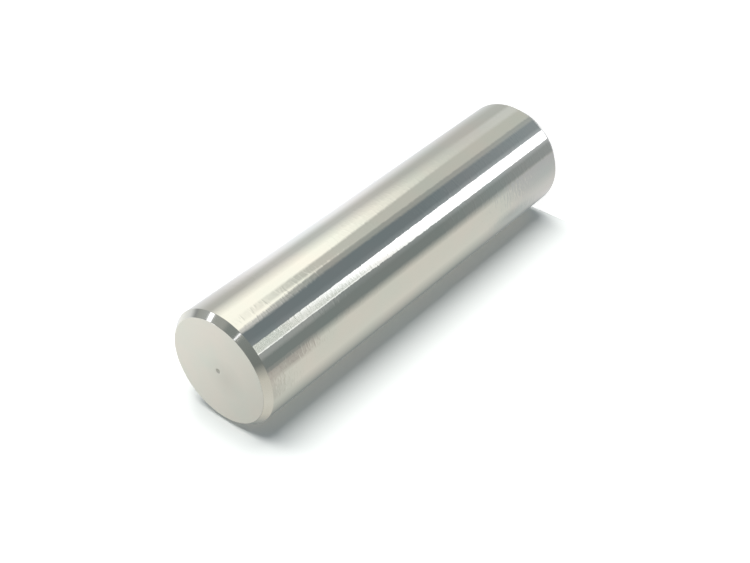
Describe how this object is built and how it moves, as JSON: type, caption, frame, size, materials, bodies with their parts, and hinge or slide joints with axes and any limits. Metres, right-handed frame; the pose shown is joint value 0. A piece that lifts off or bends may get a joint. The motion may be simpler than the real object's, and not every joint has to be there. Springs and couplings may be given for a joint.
{
  "type": "linear shaft",
  "caption": "Plain ground steel shaft, a solid round bar with square faced ends and a lead-in chamfer at each end, for a linear bearing or bushing to slide on.",
  "frame": {"origin": "centre of the lower end face, on the shaft's axis", "axes": "+Z along the shaft's axis, from the plain end face it stands on to the end face with the turning centre mark; -Y is the side it is usually looked at from"},
  "size_m": [0.013, 0.013, 0.05],
  "materials": {
    "ground_steel": "centreless ground and bare, with turned end faces and chamfers"
  },
  "bodies": {
    "root": {"shaft": "ground_steel"}
  },
  "joints": []
}
